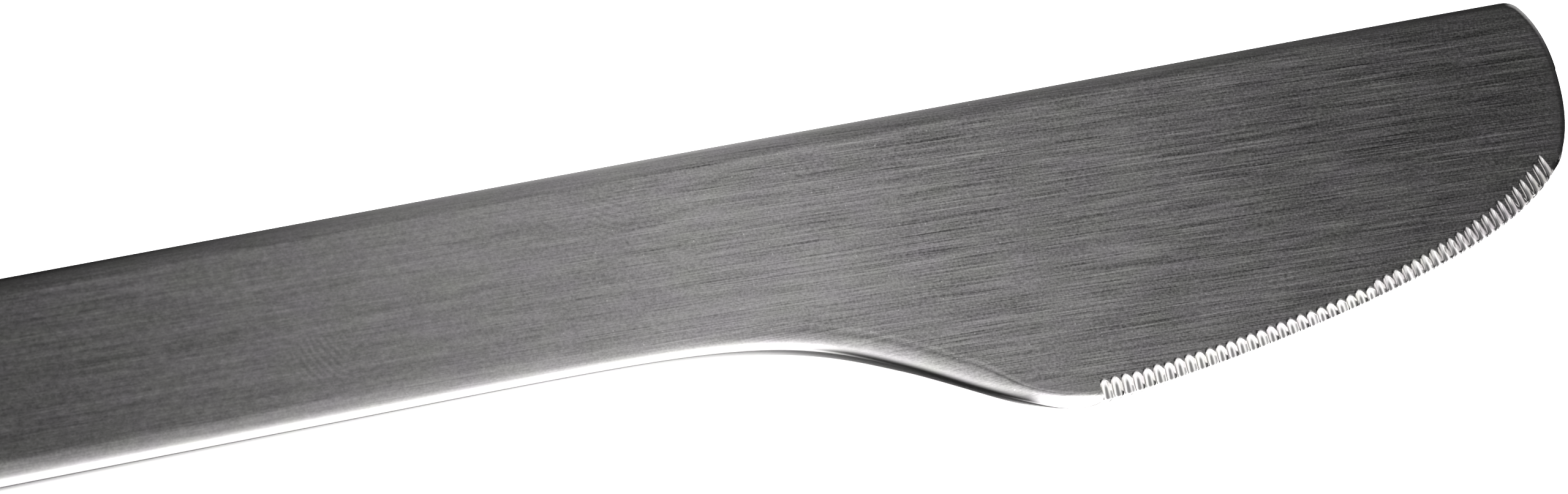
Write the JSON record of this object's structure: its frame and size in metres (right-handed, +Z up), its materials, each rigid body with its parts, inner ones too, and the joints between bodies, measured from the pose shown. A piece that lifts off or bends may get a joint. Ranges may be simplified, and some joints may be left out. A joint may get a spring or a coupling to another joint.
{
  "type": "serrated table knife",
  "caption": "Brushed steel table knife with a straight spine, deep serrated belly, blunt rounded tip and flat hollow handle.",
  "frame": {"origin": "on the surface under the middle of the knife, lying flat", "axes": "+X along the knife to the tip, +Y from the cutting edge to the spine, +Z up through the thickness, out of the fluted side"},
  "size_m": [0.206, 0.0234, 0.0045],
  "materials": {
    "blade_steel": "satin",
    "handle_steel": "satin",
    "cement": "matte"
  },
  "bodies": {
    "root": {"blade": "blade_steel", "handle_half_upper": "handle_steel", "handle_half_lower": "handle_steel", "tang_cement": "cement"}
  },
  "joints": []
}
